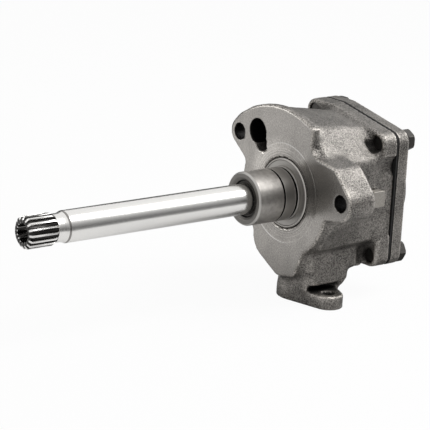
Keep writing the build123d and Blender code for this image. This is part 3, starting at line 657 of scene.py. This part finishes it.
boltSettings = {
    "body": "housing", "slot": "bolt_steel", "smooth": 30,
    "flatAngle": 0.6, "edge": 0.0003, "edgeSteps": 2, "edgeAngle": 35,
}
machinedPiece("cover_bolts", "coverBoltsDark", boltSettings, looks["boltSteel"])
machinedPiece("relief_plug", "reliefPlugDark", boltSettings, looks["boltSteel"])
machinedPiece("test_plug", "testPlugIron", boltSettings, looks["plugIron"])

springSettings = {"body": "housing", "slot": "spring_steel", "smooth": 40, "seat": 0.0768, "travel": 0.007}
spring = mergedCopy("relief_spring", "reliefSpringWire")
finishPiece(spring, "relief_spring", springSettings, looks["springSteel"])
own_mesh(spring)
print("pieces dressed")


# camera, light and floor

view = {
    "place": (-0.87922, -1.03679, 0.36163),
    "turn": (74.3256, -2.8886, -37.4798),
    "lens": 164.634,
    "sensor": 36.0,
}
cameraData = bpy.data.cameras.new("photoCamera")
cameraData.lens = view["lens"]
cameraData.sensor_width = view["sensor"]
camera = bpy.data.objects.new("photoCamera", cameraData)
camera.location = view["place"]
camera.rotation_euler = [math.radians(a) for a in view["turn"]]
scene.collection.objects.link(camera)
scene.camera = camera

lamps = {  # size: along the shaft as far as it can be, then across
    "key": {"place": (0.78, -0.46, 0.97), "size": (1.3, 0.68), "power": 15.5},
    "left": {"place": (-0.95, 1.15, 0.15), "size": (0.5, 0.5), "power": 2.0},
}
for name, lamp in lamps.items():
    lampData = bpy.data.lights.new(name, "AREA")
    lampData.shape = "RECTANGLE"
    lampData.size, lampData.size_y = lamp["size"]
    lampData.energy = lamp["power"]
    box = bpy.data.objects.new(name, lampData)
    away = Vector(lamp["place"]).normalized()
    along = (Vector((1, 0, 0)) - away * away.x).normalized()
    box.rotation_euler = Matrix((along, away.cross(along), away)).transposed().to_euler()
    box.location = lamp["place"]
    scene.collection.objects.link(box)

floorSettings = {
    "size": 12.0, "height": -0.0801, "colour": (0.9, 0.9, 0.9), "rough": 0.9,
    "glow": 0.95, "glossyGlow": 0.5,  # how much of it the camera and metal see as white
    "shadowCentre": (0.06, -0.02), "shadowFrom": 0.06, "shadowTo": 0.20,  # metal sees the shadow here
}


def makeWhiteGround(name, look):  # the camera and metal see it as white, with a faint shadow
    material, tree, shader, coords = startMaterial(name)
    shader.inputs["Base Color"].default_value = (*look["colour"], 1.0)
    shader.inputs["Roughness"].default_value = look["rough"]
    lit = tree.nodes.new("ShaderNodeEmission")
    rays = tree.nodes.new("ShaderNodeLightPath")
    x, y, z = splitPlace(tree, coords)
    centreX, centreY = look["shadowCentre"]
    away = flatDistance(tree, addMath(tree, "SUBTRACT", x, centreX),
                        addMath(tree, "SUBTRACT", y, centreY))
    clear = addRange(tree, away, look["shadowFrom"], look["shadowTo"], 0.0, look["glossyGlow"])
    share = addMath(tree, "MAXIMUM", addMath(tree, "MULTIPLY", rays.outputs["Is Camera Ray"], look["glow"]),
                    addMath(tree, "MULTIPLY", rays.outputs["Is Glossy Ray"], clear))
    mix = tree.nodes.new("ShaderNodeMixShader")
    tree.links.new(share, mix.inputs["Fac"])
    tree.links.new(shader.outputs["BSDF"], mix.inputs[1])
    tree.links.new(lit.outputs["Emission"], mix.inputs[2])
    tree.links.new(mix.outputs["Shader"], tree.nodes["Material Output"].inputs["Surface"])
    material.cycles.emission_sampling = "NONE"
    return material


bpy.ops.object.select_all(action="DESELECT")
bpy.ops.mesh.primitive_plane_add(size=floorSettings["size"], location=(0, 0, floorSettings["height"]))
floor = bpy.context.object
floor.name = "floor"
floor.data.materials.append(makeWhiteGround("floorPaper", floorSettings))

worldSettings = {"seen": 1.0, "fill": 0.35}
world = bpy.data.worlds.new("studio")
scene.world = world
world.use_nodes = True
worldTree = world.node_tree
background = worldTree.nodes["Background"]
background.inputs["Color"].default_value = (1.0, 1.0, 1.0, 1.0)
rays = worldTree.nodes.new("ShaderNodeLightPath")
seen = addMath(worldTree, "MAXIMUM", rays.outputs["Is Camera Ray"], rays.outputs["Is Glossy Ray"])
strength = addRange(worldTree, seen, 0.0, 1.0, worldSettings["fill"], worldSettings["seen"])
worldTree.links.new(strength, background.inputs["Strength"])
world.cycles.sampling_method = "NONE"

cards = {  # cards that only metal sees; greys from the lower edge, 0, to the upper one, 1
    "nearCard": {
        "size": (1.0, 0.33), "place": (0.25, -0.25, 0.085), "tilt": 90,
        "greys": [(0.0, 0.38), (0.15, 0.20), (0.24, 0.16), (0.33, 0.20), (0.42, 0.31), (0.67, 0.50),
                  (1.0, 0.95)],
    },
    "farCard": {
        "size": (1.3, 0.34), "place": (0.40, 0.45, 0.09), "tilt": 90, "greys": [(0.0, 0.06), (1.0, 0.10)],
    },
    "caseCard": {
        "size": (0.64, 0.11), "place": (0.48, -0.24, -0.025), "tilt": 90,
        "greys": [(0.0, 0.52), (0.5, 0.38), (1.0, 0.26)],
    },
    # painted shadow: a dark sheet under the pump stands for its shadow on the floor, seen only by metal
    "floorShadowCard": {
        "size": (0.40, 0.15), "place": (0.24, 0.01, -0.08005), "tilt": 0, "greys": [(0.0, 0.18), (1.0, 0.15)],
    },
}


def makeCardPaper(name, greys):
    material, tree, shader, coords = startMaterial(name)
    across, height, depth = splitPlace(tree, coords)
    glow = tree.nodes.new("ShaderNodeEmission")
    tree.links.new(addGreys(tree, addMath(tree, "ADD", height, 0.5), greys), glow.inputs["Color"])
    tree.links.new(glow.outputs["Emission"], tree.nodes["Material Output"].inputs["Surface"])
    material.cycles.emission_sampling = "NONE"
    return material


for name, settings in cards.items():
    bpy.ops.object.select_all(action="DESELECT")
    bpy.ops.mesh.primitive_plane_add(size=1.0)
    card = bpy.context.object
    card.name = name
    card.scale = (*settings["size"], 1.0)
    card.location = settings["place"]
    card.rotation_euler = (math.radians(settings["tilt"]), 0, 0)
    card.data.materials.append(makeCardPaper(name + "Paper", settings["greys"]))
    card.visible_camera = False
    card.visible_shadow = False
    card.visible_diffuse = False

scene.view_settings.view_transform = "Standard"
print("camera and lights ready")
